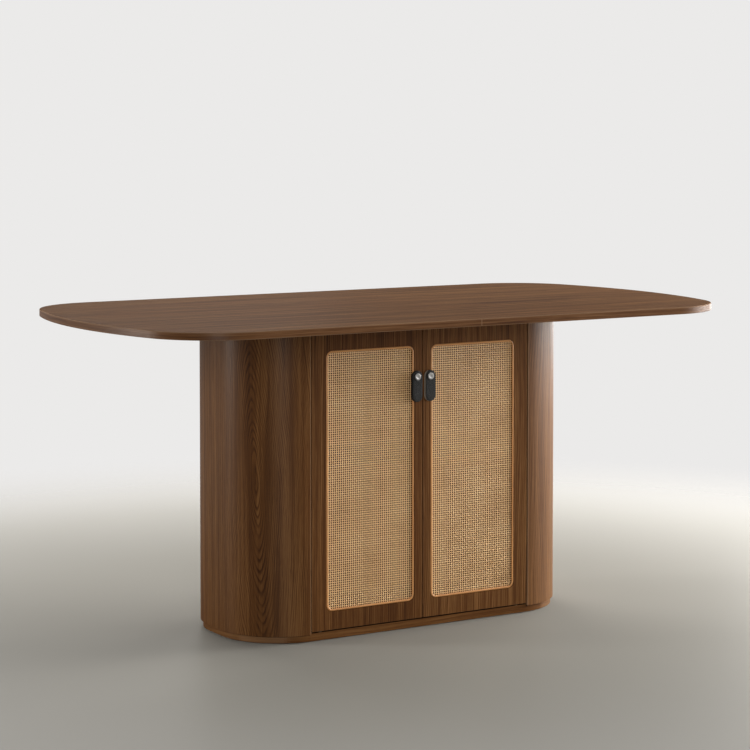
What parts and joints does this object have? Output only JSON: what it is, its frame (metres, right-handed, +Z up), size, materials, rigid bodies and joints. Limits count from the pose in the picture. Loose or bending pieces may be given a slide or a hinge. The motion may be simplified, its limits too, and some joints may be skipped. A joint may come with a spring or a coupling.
{
  "type": "dining table with storage cabinet",
  "caption": "Dining table with a long bow-ended top on a round-ended storage cabinet with two cane-panelled doors and leather pulls.",
  "frame": {"origin": "on the floor under the middle of the table top", "axes": "+X along the table, -Y towards the doors, +Z up"},
  "size_m": [1.5998, 0.87, 0.75],
  "materials": {
    "walnut_top": "walnut veneer, satin lacquer, grain along the table",
    "walnut_shell": "walnut veneer, satin lacquer, upright grain",
    "walnut_door": "walnut veneer, satin lacquer, upright grain",
    "walnut_base": "walnut veneer, satin lacquer, level grain",
    "walnut_inside": "walnut veneer, satin lacquer",
    "plywood": "raw board",
    "beech": "raw",
    "cane": "natural open mesh cane webbing",
    "rattan_spline": "rattan reed, clear lacquer",
    "black_leather": "black leather, raw taupe edge",
    "polished_steel": "polished nickel",
    "zinc_steel": "zinc plated",
    "brass": "turned",
    "nylon": "moulded brown nylon",
    "brown_plastic": "moulded",
    "magnet": "bare ferrite"
  },
  "bodies": {
    "root": {"back_panel": "walnut_inside", "back_panel_screws": "zinc_steel", "base_board": "walnut_base", "base_dowels": "beech", "cabinet_top_board": "walnut_inside", "cam_bolts": "zinc_steel", "cam_discs": "zinc_steel", "catch_housing": "brown_plastic", "catch_magnets": "magnet", "catch_screws": "zinc_steel", "end_base_screws": "zinc_steel", "glides": "nylon", "joining_plate_screws": "zinc_steel", "left_end_base": "walnut_base", "left_end_shell": "walnut_shell", "left_lower_former": "plywood", "left_middle_former": "plywood", "left_partition": "walnut_inside", "left_upper_former": "plywood", "lower_pivot_bushes": "brass", "pivot_washers": "nylon", "right_end_base": "walnut_base", "right_end_shell": "walnut_shell", "right_lower_former": "plywood", "right_middle_former": "plywood", "right_partition": "walnut_inside", "right_upper_former": "plywood", "shelf": "walnut_inside", "shelf_pins": "zinc_steel", "top_fixing_screws": "zinc_steel", "top_half_left": "walnut_top", "top_half_right": "walnut_top", "top_joining_plates": "zinc_steel", "top_seam_dowels": "beech", "upper_pivot_pins": "zinc_steel", "upper_pivot_sleeves": "brass"},
    "left_door": {"left_cane_panel": "cane", "left_cane_spline": "rattan_spline", "left_door_frame": "walnut_door", "left_lower_pivot_leaf": "zinc_steel", "left_pivot_screws": "zinc_steel", "left_pull": "black_leather", "left_pull_screw": "polished_steel", "left_strike_plate": "zinc_steel", "left_strike_screw": "zinc_steel", "left_upper_pivot_leaf": "zinc_steel"},
    "right_door": {"right_cane_panel": "cane", "right_cane_spline": "rattan_spline", "right_door_frame": "walnut_door", "right_lower_pivot_leaf": "zinc_steel", "right_pivot_screws": "zinc_steel", "right_pull": "black_leather", "right_pull_screw": "polished_steel", "right_strike_plate": "zinc_steel", "right_strike_screw": "zinc_steel", "right_upper_pivot_leaf": "zinc_steel"}
  },
  "joints": [
    {"name": "left_door_hinge", "type": "hinge", "parent": "root", "child": "left_door", "pos_m": [-0.2735, -0.178, 0.36], "axis": [0, 0, -1], "range_deg": [0, 120]},
    {"name": "right_door_hinge", "type": "hinge", "parent": "root", "child": "right_door", "pos_m": [0.2735, -0.178, 0.36], "axis": [0, 0, 1], "range_deg": [0, 120]}
  ]
}
